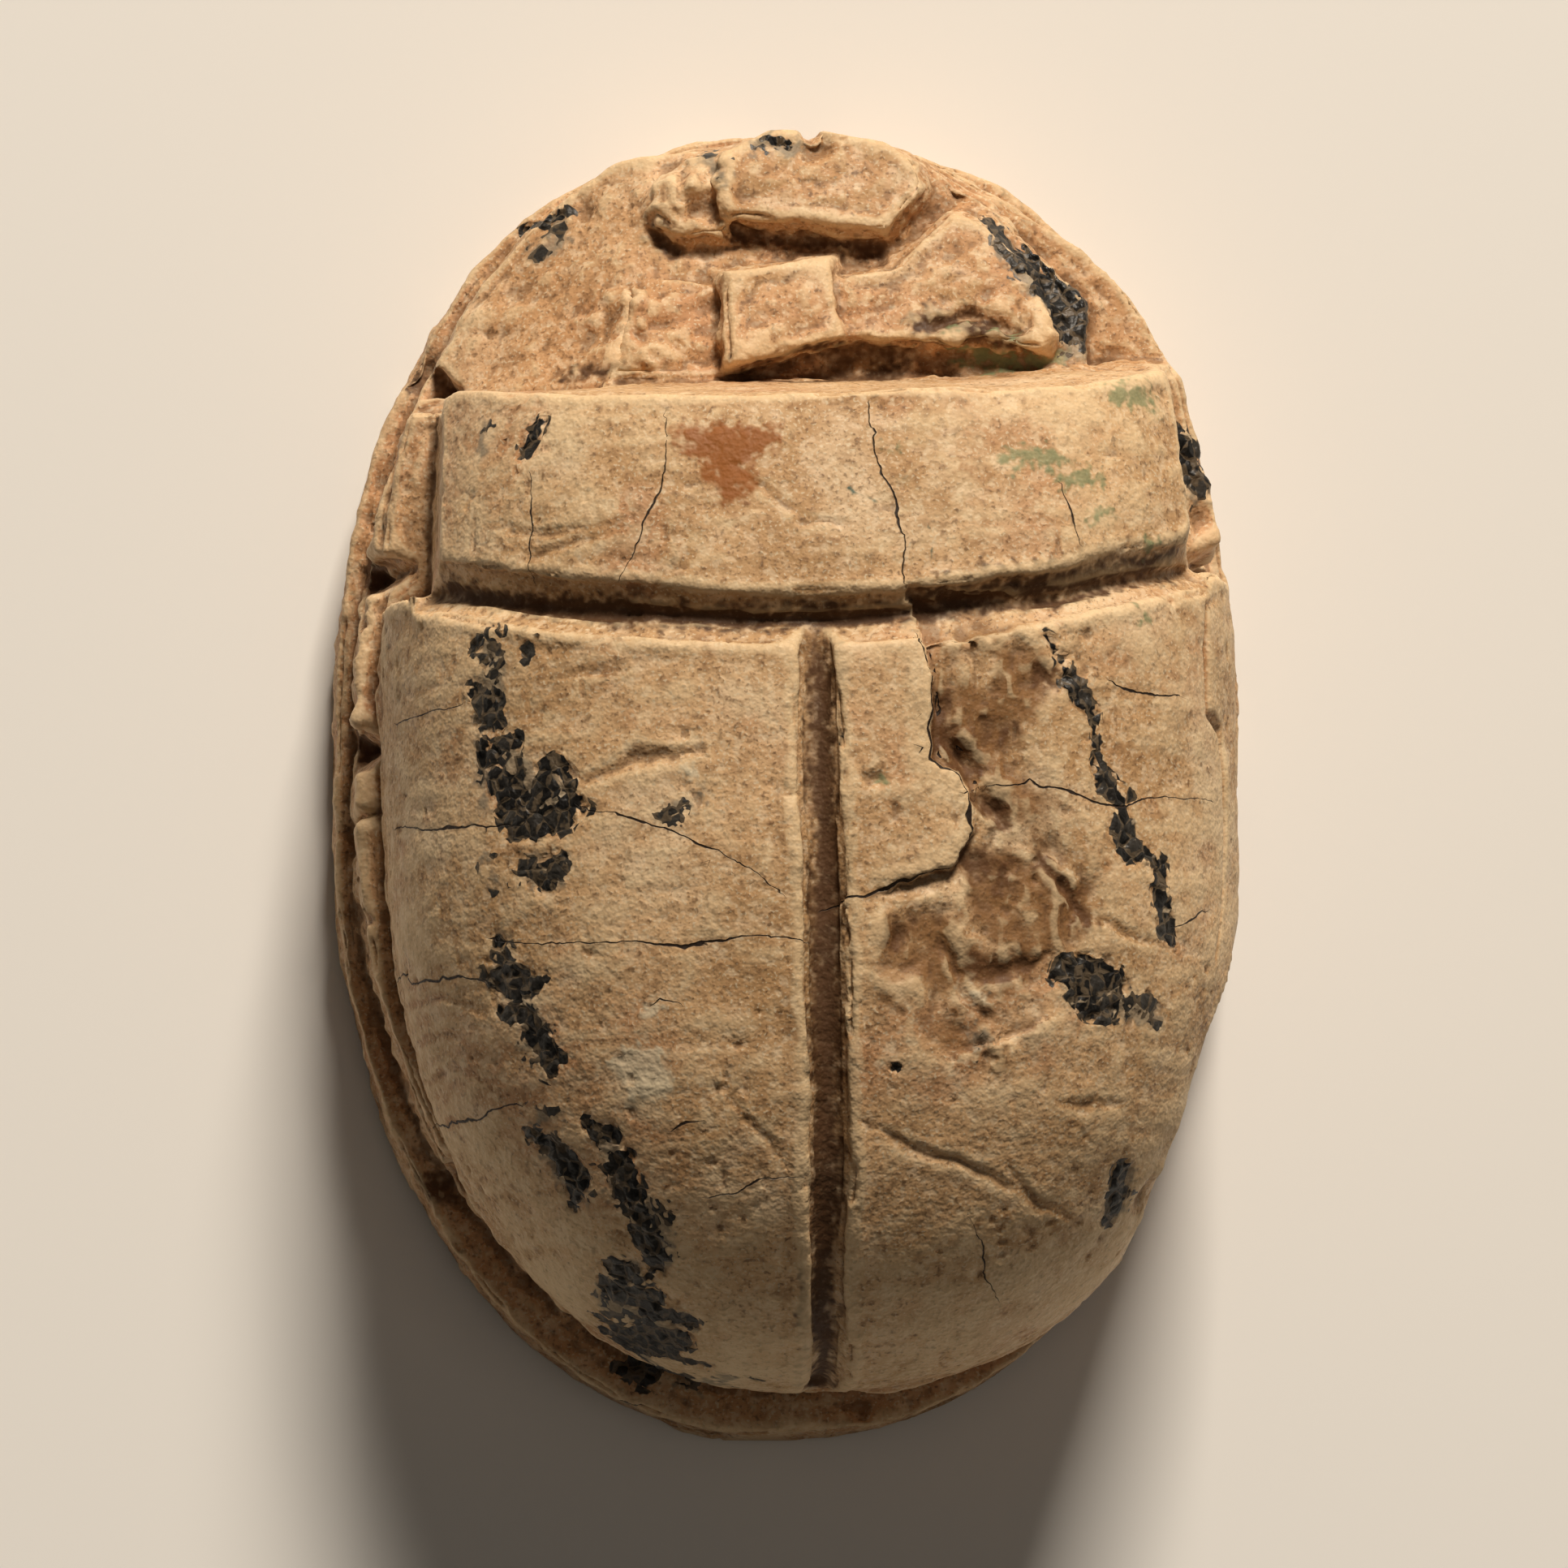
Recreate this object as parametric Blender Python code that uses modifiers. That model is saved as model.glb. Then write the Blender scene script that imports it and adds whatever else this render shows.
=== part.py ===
"""A scarab amulet, carved as one solid from pale steatite: a beetle on a flat oval plinth, pierced
lengthwise for a thread. Blender 4.5, metres, +Z up. The beetle's head points to +Y, and the origin is
the middle of the plinth's flat underside, on which the amulet lies."""

import math

import bmesh
import bpy
from mathutils import Matrix, Vector

MM = 0.001

# The whole amulet
LENGTH = 18.0 * MM
WIDTH = 12.5 * MM
HEIGHT = 8.0 * MM

# The oval plinth, whose underside is the seal
PLINTH_THICKNESS = 1.3 * MM
PLINTH_EDGE_ROUNDING = 0.12 * MM
PLINTH_FRONT_POWER = 2.32
PLINTH_TAIL_POWER = 2.15
BORDER_INSET = 0.75 * MM
BORDER_LINE_WIDTH = 0.30 * MM
BORDER_LINE_DEPTH = 0.12 * MM

# The legs, a low band on the plinth that the back stands on
LEGS_HEIGHT = 1.6 * MM
LEGS_INSET = 0.28 * MM
LEGS_TAIL_INSET = 0.75 * MM
LEGS_ROUNDING = 0.25 * MM
LEG_LINE_WIDTH = 0.30 * MM

# The back. It sits a little askew on the plinth, towards the beetle's right
BACK_OVER_LEGS = 0.2 * MM
BACK_SIDE_MARGIN = 0.38 * MM
BACK_FRONT_MARGIN = 0.80 * MM
BACK_TAIL_MARGIN = 0.40 * MM
BACK_FRONT_POWER = 3.0
BACK_TAIL_POWER = 2.35
CREST_POWER = 2.35
BACK_SHIFT = 0.22 * MM
BACK_TURN = math.radians(1.8)

# The carved lines that part the back into prothorax and wing cases
NECK_LINE_WIDTH = 0.80 * MM
WING_LINE_WIDTH = 0.56 * MM
WING_LINE_DEPTH = 0.34 * MM
WING_LINE_OFFSET = 0.12 * MM
SHOULDER_LEDGE = 0.25 * MM
SHOULDER_FALL = 0.30

# The head's plates and the notch in its tip
PLATE_RISE = 0.55 * MM
PLATE_SPLAY = 0.34 * MM
BREAK_SLOPE = 0.57
CLYPEUS_NOTCH_DEPTH = 0.42 * MM
CLYPEUS_NOTCH_WIDTH = 0.80 * MM

# The thread hole, which runs from the head to the tail just above the plinth
BORE_DIAMETER = 1.4 * MM
BORE_OVER_PLINTH = 0.15 * MM

# The carving's places, as shares of the half width and the half length
BACK_WIDEST = -0.044
NECK_AT_FOOT = 0.606
NECK_AT_CROWN = 0.506
PROTHORAX_FRONT = 0.76
PROTHORAX_REAR = 0.824
HEAD_TIP = 0.967
WING_CASES_START = 0.172
WING_CASES_BOW = 0.128
SHOULDER_ANGLE = math.radians(14)

# The head's ground, as shares of the back's rise
HEAD_GROUND_REAR = 0.214
HEAD_GROUND_FRONT = 0.02

# How finely the round forms are faceted
OVAL_POINTS = 72
BACK_RINGS = 30
GROOVE_POINTS = 28

STONE_COLOUR = (0.50, 0.36, 0.21, 1.0)

HALF_WIDTH = WIDTH / 2
HALF_LENGTH = LENGTH / 2
LEGS_TOP = PLINTH_THICKNESS + LEGS_HEIGHT
BACK_FOOT = LEGS_TOP + BACK_OVER_LEGS
BACK_RISE = HEIGHT - BACK_FOOT
BACK_HALF_WIDTH = HALF_WIDTH - BACK_SIDE_MARGIN
BACK_FRONT = HALF_LENGTH - BACK_FRONT_MARGIN
BACK_TAIL = HALF_LENGTH - BACK_TAIL_MARGIN
BORE_AXIS = PLINTH_THICKNESS + BORE_OVER_PLINTH + BORE_DIAMETER / 2
ROOTED = PLINTH_THICKNESS * 0.6
FAR = 2 * LENGTH

# The beetle's own frame, from the plinth's
BEETLE = Matrix.Translation((BACK_SHIFT, 0, 0)) @ Matrix.Rotation(BACK_TURN, 4, "Z")


def plan(x, y):
    """A place in plan, from shares of the half width and the half length."""
    return Vector((x * HALF_WIDTH, y * HALF_LENGTH))


def signed_power(value, power):
    return math.copysign(abs(value) ** power, value)


def oval(angle, half_width, front, tail, front_power, tail_power):
    """A point of an egg-shaped outline. Each half is a superellipse of its own."""
    reach, power = (front, front_power) if math.sin(angle) > 0 else (tail, tail_power)
    x = half_width * signed_power(math.cos(angle), 2 / power)
    y = reach * signed_power(math.sin(angle), 2 / power)
    return Vector((x, y))


def plinth_oval(angle, inset, tail_inset):
    front, tail = HALF_LENGTH - inset, HALF_LENGTH - tail_inset
    return oval(angle, HALF_WIDTH - inset, front, tail, PLINTH_FRONT_POWER, PLINTH_TAIL_POWER)


def back_reach(y):
    """The length and the power of the back's outline, on this side of its widest place."""
    widest = BACK_WIDEST * HALF_LENGTH
    if y > widest:
        return BACK_FRONT - widest, BACK_FRONT_POWER
    return BACK_TAIL + widest, BACK_TAIL_POWER


def back_oval(angle, share=1.0):
    """The outline of the back, or of a smaller ring higher on it."""
    front, front_power = back_reach(BACK_FRONT)
    tail, tail_power = back_reach(-BACK_TAIL)
    point = oval(angle, BACK_HALF_WIDTH, front, tail, front_power, tail_power)
    return point * share + plan(0, BACK_WIDEST)


def crest(x, y):
    """The height of the plain back above a place in plan, before anything is cut into it."""
    reach, power = back_reach(y)
    across = abs(x / BACK_HALF_WIDTH) ** power
    along = abs((y - BACK_WIDEST * HALF_LENGTH) / reach) ** power
    share = min(1.0, (across + along) ** (1 / power))
    return BACK_FOOT + BACK_RISE * (1 - share**CREST_POWER) ** (1 / CREST_POWER)


def neck_line(x):
    """The curved line between the prothorax and the wing cases. Its place across is a share."""
    return plan(x, WING_CASES_START + WING_CASES_BOW * x**2)


def head_ground(y):
    """The sloping ground of the head, on which its plates stand."""
    share = (y / HALF_LENGTH - NECK_AT_FOOT) / (HEAD_TIP - NECK_AT_FOOT)
    return BACK_FOOT + BACK_RISE * (HEAD_GROUND_REAR + share * (HEAD_GROUND_FRONT - HEAD_GROUND_REAR))


def clear_scene():
    for thing in list(bpy.data.objects):
        bpy.data.objects.remove(thing, do_unlink=True)


def collection(name):
    made = bpy.data.collections.new(name)
    bpy.context.scene.collection.children.link(made)
    return made


def add_object(name, mesh, home):
    thing = bpy.data.objects.new(name, mesh)
    home.objects.link(thing)
    return thing


def helper(thing):
    """Marks a shape that is only joined to the stone or cut from it."""
    thing.hide_render = True
    thing.display_type = "WIRE"
    return thing


def mesh_of_curve(curve_object, home):
    """Turns a curve into a closed mesh, so that a Boolean can use it."""
    bpy.context.view_layer.update()
    graph = bpy.context.evaluated_depsgraph_get()
    mesh = bpy.data.meshes.new_from_object(curve_object.evaluated_get(graph))
    work = bmesh.new()
    work.from_mesh(mesh)
    bmesh.ops.remove_doubles(work, verts=work.verts, dist=0.001 * MM)
    bmesh.ops.recalc_face_normals(work, faces=work.faces)
    work.to_mesh(mesh)
    work.free()
    made = add_object(curve_object.name + "_solid", mesh, home)
    made.matrix_world = curve_object.matrix_world
    bpy.data.objects.remove(curve_object, do_unlink=True)
    return made


def slab(name, outline, bottom, top, home):
    """A flat outline with thickness. The outline is a list of places in plan."""
    curve = bpy.data.curves.new(name, "CURVE")
    curve.dimensions = "2D"
    curve.fill_mode = "BOTH"
    curve.extrude = (top - bottom) / 2
    spline = curve.splines.new("POLY")
    spline.points.add(len(outline) - 1)
    for spline_point, place in zip(spline.points, outline):
        spline_point.co = (place[0], place[1], 0, 1)
    spline.use_cyclic_u = True
    thing = add_object(name, curve, home)
    thing.location.z = (top + bottom) / 2
    return mesh_of_curve(thing, home)


def tube(name, path, width, home, sides=8, closed=False, twist="Z_UP"):
    """A round bar along a path, or a square one with an edge down if it has four sides."""
    curve = bpy.data.curves.new(name, "CURVE")
    curve.dimensions = "3D"
    curve.bevel_depth = width / 2
    curve.bevel_resolution = (sides - 4) // 2
    curve.use_fill_caps = True
    curve.twist_mode = twist
    spline = curve.splines.new("POLY")
    spline.points.add(len(path) - 1)
    for spline_point, place in zip(spline.points, path):
        spline_point.co = (place[0], place[1], place[2], 1)
    spline.use_cyclic_u = closed
    return helper(mesh_of_curve(add_object(name, curve, home), home))


def hull(name, corners, home):
    """The closed solid with flat faces that these corners span."""
    work = bmesh.new()
    for corner in corners:
        work.verts.new(corner)
    bmesh.ops.convex_hull(work, input=work.verts)
    bmesh.ops.recalc_face_normals(work, faces=work.faces)
    mesh = bpy.data.meshes.new(name)
    work.to_mesh(mesh)
    work.free()
    return helper(add_object(name, mesh, home))


def boolean(thing, home, operation):
    modifier = thing.modifiers.new(operation.lower(), "BOOLEAN")
    modifier.operation = operation
    modifier.operand_type = "COLLECTION"
    modifier.collection = home
    modifier.solver = "EXACT"


def soften(thing, width, segments=2):
    modifier = thing.modifiers.new("soften", "BEVEL")
    modifier.width = width
    modifier.segments = segments
    modifier.limit_method = "ANGLE"
    modifier.angle_limit = math.radians(40)


def make_plinth(home):
    """The oval slab under the beetle."""
    outline = [plinth_oval(2 * math.pi * i / OVAL_POINTS, 0, 0) for i in range(OVAL_POINTS)]
    plinth = slab("plinth", outline, 0, PLINTH_THICKNESS, home)
    soften(plinth, PLINTH_EDGE_ROUNDING)
    return plinth


def make_legs(home):
    """The band of legs. Its top is the ledge beside the prothorax and the head."""
    angles = [2 * math.pi * i / OVAL_POINTS for i in range(OVAL_POINTS)]
    outline = [plinth_oval(angle, LEGS_INSET, LEGS_TAIL_INSET) for angle in angles]
    legs = slab("legs", outline, ROOTED, LEGS_TOP, home)
    soften(legs, LEGS_ROUNDING)
    return helper(legs)


def make_back(home):
    """The beetle's domed back. Below its foot it goes straight down into the plinth."""
    work = bmesh.new()
    bmesh.ops.create_uvsphere(work, u_segments=OVAL_POINTS, v_segments=BACK_RINGS, radius=1)
    for vertex in work.verts:
        around = math.atan2(vertex.co.y, vertex.co.x)
        up = math.asin(max(-1, min(1, vertex.co.z)))
        if up >= 0:
            share = max(0.0, math.cos(up)) ** (2 / CREST_POWER)
            height = BACK_FOOT + BACK_RISE * math.sin(up) ** (2 / CREST_POWER)
        else:
            down = -up / (math.pi / 2)
            share = min(1.0, 2 - 2 * down) * (1 - 0.05 * min(1.0, 2 * down))
            height = BACK_FOOT + (ROOTED - BACK_FOOT) * min(1.0, 2 * down)
        place = back_oval(around, share)
        vertex.co = (place.x, place.y, height)
    mesh = bpy.data.meshes.new("back")
    work.to_mesh(mesh)
    work.free()
    return helper(add_object("back", mesh, home))


def cut_front(home):
    """Takes the back away in front of the neck, down to the legs, along a leaning face."""
    lean = (NECK_AT_CROWN - NECK_AT_FOOT) * HALF_LENGTH / BACK_RISE
    floor = LEGS_TOP + BACK_OVER_LEGS / 3
    corners = []
    for x in (-FAR, FAR):
        for height in (floor, FAR):
            corners.append((x, NECK_AT_FOOT * HALF_LENGTH + lean * (height - BACK_FOOT), height))
            corners.append((x, FAR, height))
    hull("front_cut", corners, home)


def cut_shoulders(home):
    """Steps the prothorax in from the sides, down to ledges that fall gently to the rim."""
    rear, front = neck_line(PROTHORAX_REAR), plan(PROTHORAX_FRONT, 0.83)
    floor = BACK_FOOT + SHOULDER_LEDGE
    for side in (-1, 1):
        corners = []
        for x, y in (rear, front):
            corners += [(side * x, y, floor), (side * (x - SHOULDER_LEDGE), y, FAR)]
            corners += [(side * FAR, y, floor - SHOULDER_FALL * (FAR - x)), (side * FAR, y, FAR)]
        hull("shoulder_cut", corners, home)


def plate(name, outline, rise, home):
    """A block of the head. The outline is its top's, and its sides splay outwards."""
    places = [plan(x, y) for x, y in outline]
    middle = sum(places, Vector((0, 0))) / len(places)
    block = slab(name, places, 0, PLATE_RISE, home)
    for vertex in block.data.vertices:
        top = vertex.co.z > 0
        ground = head_ground(vertex.co.y)
        if not top:
            away = (vertex.co.xy - middle).normalized() * PLATE_SPLAY
            tip = vertex.co.y > HALF_LENGTH * (HEAD_TIP - 0.11)
            vertex.co.xy = vertex.co.xy + (Vector((away.x, 0)) if tip else away)
        vertex.co.z = ground + (rise if top else -0.9 * rise) - block.location.z
    return helper(block)


def ground_block(name, outline, home):
    """A block that reaches from the plinth up to the head's ground."""
    block = slab(name, [plan(x, y) for x, y in outline], ROOTED, BACK_FOOT, home)
    for vertex in block.data.vertices:
        if vertex.co.z > 0:
            vertex.co.z = head_ground(vertex.co.y) - block.location.z
    return helper(block)


def make_head(home):
    """Clypeus, brow and cheeks on the head's sloping ground. The left cheek is a broken stump."""
    ground = [(-0.81, 0.58), (0.62, 0.58), (0.64, 0.69), (0.46, 0.845), (0.30, 0.93), (0.14, 0.958)]
    ground += [(-0.16, 0.958), (-0.40, 0.93), (-0.55, 0.865), (-0.74, 0.72)]
    ground_block("head_ground", ground, home)
    clypeus = [(-0.155, 0.844), (0.0, 0.831), (0.189, 0.808), (0.288, 0.876), (0.283, 0.920)]
    clypeus += [(0.206, 0.953), (0.099, 0.972), (0.035, 0.973), (-0.054, 0.974), (-0.155, 0.944)]
    plate("clypeus", clypeus, PLATE_RISE, home)
    chipped = [(-0.150, 0.817), (-0.150, 0.944), (-0.234, 0.933), (-0.296, 0.889), (-0.307, 0.844)]
    chipped += [(-0.240, 0.811)]
    plate("clypeus_chipped_side", chipped, PLATE_RISE * 0.7, home)
    brow = [(-0.163, 0.750), (0.067, 0.756), (0.101, 0.636), (-0.163, 0.604)]
    plate("brow", brow, PLATE_RISE * 1.2, home)
    cheek = [(0.080, 0.728), (0.208, 0.750), (0.352, 0.836), (0.416, 0.822), (0.512, 0.739)]
    cheek += [(0.560, 0.636), (0.528, 0.611), (0.384, 0.629), (0.272, 0.634), (0.096, 0.642)]
    plate("right_cheek", cheek, PLATE_RISE * 0.9, home)
    stump = [(-0.500, 0.594), (-0.472, 0.633), (-0.384, 0.722), (-0.192, 0.733), (-0.192, 0.594)]
    plate("left_cheek", stump, PLATE_RISE * 0.35, home)


def cut_broken_side(home):
    """The oblique break that runs from the left of the head down to the plinth's rim."""
    ridge = [(-0.44, 0.56), (-0.335, 0.844), (-0.28, 1.05)]
    corners = []
    for x, y in ridge:
        near, far = plan(x, y), plan(-1.25, y)
        height = head_ground(near.y)
        fall = BREAK_SLOPE * (near.x - far.x)
        corners += [(*near, height), (*near, FAR), (*far, height - fall), (*far, FAR)]
    hull("broken_side", corners, home)


def cut_back_lines(home):
    """The carved lines on the back: one across it, and one down the middle between the wing cases."""
    across = []
    reach = 0.92 * BACK_HALF_WIDTH / HALF_WIDTH
    for i in range(GROOVE_POINTS):
        place = neck_line(-reach + 2 * reach * i / (GROOVE_POINTS - 1))
        across.append((place.x, place.y, crest(place.x, place.y)))
    tube("neck_line", across, NECK_LINE_WIDTH, home, sides=4)
    down = []
    start, end = neck_line(0).y, -BACK_TAIL * 0.999
    sink = WING_LINE_WIDTH / 2 - WING_LINE_DEPTH
    for i in range(GROOVE_POINTS):
        turn = math.pi / 2 * i / (GROOVE_POINTS - 1)
        y = start + (end - start) * math.sin(turn)
        down.append((-WING_LINE_OFFSET, y, crest(0, y) + sink))
    down.append((-WING_LINE_OFFSET, end - WING_LINE_WIDTH, LEGS_TOP))
    tube("wing_line", down, WING_LINE_WIDTH, home, twist="MINIMUM")


def cut_line_over_legs(home):
    """The incised line under the wing cases' edge, from one shoulder round the tail to the other."""
    height = BACK_FOOT - LEG_LINE_WIDTH / 4
    start, sweep = math.pi - SHOULDER_ANGLE, math.pi + 2 * SHOULDER_ANGLE
    places = [back_oval(start + sweep * i / (OVAL_POINTS - 1)) for i in range(OVAL_POINTS)]
    tube("line_over_legs", [(*place, height) for place in places], LEG_LINE_WIDTH, home, sides=6)


def legs_flank(y):
    """How far the band of legs reaches to the side, at this share of the half length."""
    inset = LEGS_INSET if y > 0 else LEGS_TAIL_INSET
    power = PLINTH_FRONT_POWER if y > 0 else PLINTH_TAIL_POWER
    along = abs(y * HALF_LENGTH / (HALF_LENGTH - inset))
    return (HALF_WIDTH - LEGS_INSET) * (1 - along**power) ** (1 / power)


def cut_leg_strokes(home):
    """Incised strokes that part the legs: from one share of the length and of the band to another."""
    strokes = [(0.40, 0.02, 0.21, 0.95), (-0.08, 0.02, -0.24, 0.95), (-0.40, 0.75, -0.73, 0.45)]
    for side in (-1, 1):
        for from_y, from_share, to_y, to_share in strokes:
            path = []
            for i in range(9):
                y = from_y + (to_y - from_y) * i / 8
                share = from_share + (to_share - from_share) * i / 8
                height = PLINTH_THICKNESS + share * LEGS_HEIGHT
                path.append((side * legs_flank(y), y * HALF_LENGTH, height))
            tube("leg_stroke", path, LEG_LINE_WIDTH, home, sides=6)


def cut_leg_gaps(home):
    """Gaps drilled in from the flanks, where one leg parts from the next: place, length and depth."""
    gaps = [(0.305, 0.95, 0.75), (0.04, 1.15, 0.65), (-0.072, 0.40, 0.45), (-0.617, 0.90, 0.55)]
    section = ((-0.5, 0.4), (0.5, 0.4), (-0.35, -0.3), (0.3, -0.2), (0, -1.0))
    heights = ((PLINTH_THICKNESS + 0.16 * LEGS_HEIGHT, 0.6), (BACK_FOOT + 0.125 * LEGS_HEIGHT, 1.0))
    for side in (-1, 1):
        for y, long, deep in gaps:
            corners = []
            for height, grow in heights:
                for along, out in section:
                    sink = out * deep * grow if out < 0 else out
                    x = legs_flank(y) + sink * MM
                    corners.append((side * x, y * HALF_LENGTH + along * long * grow * MM, height))
            hull("leg_gap", corners, home)


def cut_front_pocket(home):
    """A small deep chip where the break meets the prothorax's left corner."""
    corners = []
    for height in (PLINTH_THICKNESS + 0.6 * LEGS_HEIGHT, HEIGHT / 2):
        for x, y in ((-0.90, 0.594), (-0.72, 0.589), (-0.78, 0.639), (-0.88, 0.633)):
            corners.append((*plan(x, y), height))
    hull("front_pocket", corners, home)


def cut_worn_flank(home):
    """The right flank towards the tail is worn flatter than the oval."""
    corners = []
    for x, y in ((1.031, -0.133), (0.650, -0.889)):
        for height in (-HEIGHT, 0.62 * HEIGHT):
            corners += [(*plan(x, y), height), (*plan(x + 0.64, y - 0.155), height)]
    hull("worn_flank", corners, home)


def cut_clypeus_notch(home):
    """The notch in the middle of the clypeus, chipped on through the plinth's tip."""
    corners = []
    for height in (-HEIGHT, HEIGHT):
        corners.append((BACK_SHIFT, HALF_LENGTH - CLYPEUS_NOTCH_DEPTH, height))
        for side in (-1, 1):
            x = BACK_SHIFT + side * CLYPEUS_NOTCH_WIDTH
            corners.append((x, HALF_LENGTH + CLYPEUS_NOTCH_DEPTH, height))
    hull("clypeus_notch", corners, home)


def cut_bore(home):
    """The thread hole, drilled from end to end."""
    work = bmesh.new()
    radius = BORE_DIAMETER / 2
    bmesh.ops.create_cone(work, cap_ends=True, segments=20, radius1=radius, radius2=radius, depth=FAR)
    mesh = bpy.data.meshes.new("thread_hole")
    work.to_mesh(mesh)
    work.free()
    bore = helper(add_object("thread_hole", mesh, home))
    bore.rotation_euler.x = math.pi / 2
    bore.location.z = BORE_AXIS


def cut_border(home):
    """The seal's border line, incised round the underside."""
    angles = [2 * math.pi * i / OVAL_POINTS for i in range(OVAL_POINTS)]
    axis = BORDER_LINE_DEPTH - BORDER_LINE_WIDTH / 2
    path = [(*plinth_oval(angle, BORDER_INSET, BORDER_INSET), axis) for angle in angles]
    tube("border_line", path, BORDER_LINE_WIDTH, home, sides=4, closed=True)


def place_beetle(*homes):
    """Turns and shifts what belongs to the beetle from its own frame to the plinth's."""
    bpy.context.view_layer.update()
    for home in homes:
        for thing in home.objects:
            thing.matrix_world = BEETLE @ thing.matrix_world


def stone():
    material = bpy.data.materials.new("pale_steatite")
    material.use_nodes = True
    shader = material.node_tree.nodes["Principled BSDF"]
    shader.inputs["Base Color"].default_value = STONE_COLOUR
    shader.inputs["Roughness"].default_value = 0.62
    shader.inputs["Metallic"].default_value = 0.0
    return material


def main():
    clear_scene()
    amulet = collection("scarab_amulet")
    back, front = collection("back_form"), collection("front_cutters")
    legs, head = collection("legs_form"), collection("head_forms")
    cutters = collection("cutters")
    scarab = make_plinth(amulet)
    scarab.name = "scarab"
    make_back(back)
    cut_front(front)
    cut_shoulders(front)
    make_legs(legs)
    make_head(head)
    cut_broken_side(cutters)
    cut_back_lines(cutters)
    cut_line_over_legs(cutters)
    cut_front_pocket(cutters)
    place_beetle(back, front, head, cutters)
    cut_leg_strokes(cutters)
    cut_leg_gaps(cutters)
    cut_worn_flank(cutters)
    cut_clypeus_notch(cutters)
    cut_bore(cutters)
    cut_border(cutters)
    boolean(scarab, back, "UNION")
    boolean(scarab, front, "DIFFERENCE")
    boolean(scarab, legs, "UNION")
    boolean(scarab, head, "UNION")
    boolean(scarab, cutters, "DIFFERENCE")
    scarab.data.materials.append(stone())


main()
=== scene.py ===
"""The looks of a scarab amulet: one piece of fired pale steatite, worn, cracked and chipped, with
black mineral veins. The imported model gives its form, and this script gives the stone its surface."""

import itertools
import math

import bmesh
import bpy
import numpy as np
from mathutils import Matrix, Vector
from mathutils.bvhtree import BVHTree


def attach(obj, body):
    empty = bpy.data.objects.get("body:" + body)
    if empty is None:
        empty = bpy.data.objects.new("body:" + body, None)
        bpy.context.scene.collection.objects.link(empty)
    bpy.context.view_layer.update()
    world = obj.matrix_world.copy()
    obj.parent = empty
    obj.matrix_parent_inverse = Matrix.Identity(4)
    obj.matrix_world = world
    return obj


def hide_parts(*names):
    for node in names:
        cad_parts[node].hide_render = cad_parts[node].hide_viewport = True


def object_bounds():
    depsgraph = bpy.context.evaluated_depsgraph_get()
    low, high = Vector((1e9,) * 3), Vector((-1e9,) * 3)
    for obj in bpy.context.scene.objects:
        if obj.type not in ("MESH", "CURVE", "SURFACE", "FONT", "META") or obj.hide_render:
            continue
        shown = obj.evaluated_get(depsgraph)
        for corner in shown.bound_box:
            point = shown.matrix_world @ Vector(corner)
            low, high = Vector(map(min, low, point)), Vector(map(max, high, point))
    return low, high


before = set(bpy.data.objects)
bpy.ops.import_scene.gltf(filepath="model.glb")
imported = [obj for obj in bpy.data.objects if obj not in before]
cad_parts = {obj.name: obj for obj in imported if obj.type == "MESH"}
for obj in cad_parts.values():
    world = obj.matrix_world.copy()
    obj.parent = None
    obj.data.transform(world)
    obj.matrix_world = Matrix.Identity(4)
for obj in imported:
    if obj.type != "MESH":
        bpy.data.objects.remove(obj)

cad_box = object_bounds()

# The camera
# It looks down on the amulet through a long lens, the way small finds are recorded. It leans a
# little to the beetle's left and to its tail, so that the left flank and the tail's rim show.
MM = 0.001
PHOTO_SIDE = 1932
PIXELS_PER_MM = 89.4
AIM = Vector((-0.039, -0.034, 1.5)) * MM
LEAN_LEFT = 0.050
LEAN_TO_TAIL = 0.105
CAMERA_DISTANCE = 250 * MM
SENSOR_WIDTH = 36

camera_back = Vector((-LEAN_LEFT, -LEAN_TO_TAIL, 1)).normalized()
camera_right = Vector((0, 1, 0)).cross(camera_back).normalized()
camera_up = camera_back.cross(camera_right)
camera_place = AIM + camera_back * CAMERA_DISTANCE

camera_data = bpy.data.cameras.new("copy_stand_camera")
camera_data.sensor_width = SENSOR_WIDTH
camera_data.lens = SENSOR_WIDTH * PIXELS_PER_MM * CAMERA_DISTANCE / MM / PHOTO_SIDE
camera_data.clip_start = 0.01
camera_data.clip_end = 5
camera = bpy.data.objects.new("copy_stand_camera", camera_data)
bpy.context.scene.collection.objects.link(camera)
camera.matrix_world = Matrix.Translation(camera_place) @ Matrix(
    (camera_right, camera_up, camera_back)
).transposed().to_4x4()
bpy.context.scene.camera = camera

# The stone
# One pebble of steatite, carved with flint or copper points, pierced and fired. It stands in for
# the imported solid, and adds what the hand, wear, cracks and breaks did to that form.
# All lengths in this section are millimetres, until the mesh goes back to metres at its end.
GRID = 0.05
MOST_TRIANGLES = 194000
EASING_BROAD = 100
EASING_EDGES = 24
EASING_CLOSE = 2

stone = bpy.data.objects.new("carved_scarab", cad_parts["scarab"].data.copy())
bpy.context.scene.collection.objects.link(stone)
stone.data.transform(Matrix.Scale(1 / MM, 4))
stone.data.materials.clear()


def settle(thing):
    """Applies the object's modifiers, so that its mesh is what they make."""
    graph = bpy.context.evaluated_depsgraph_get()
    made = bpy.data.meshes.new_from_object(thing.evaluated_get(graph))
    thing.modifiers.clear()
    thing.data = made


even_grid = stone.modifiers.new("even_grid", "REMESH")
even_grid.mode = "VOXEL"
even_grid.voxel_size = GRID
settle(stone)


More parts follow.
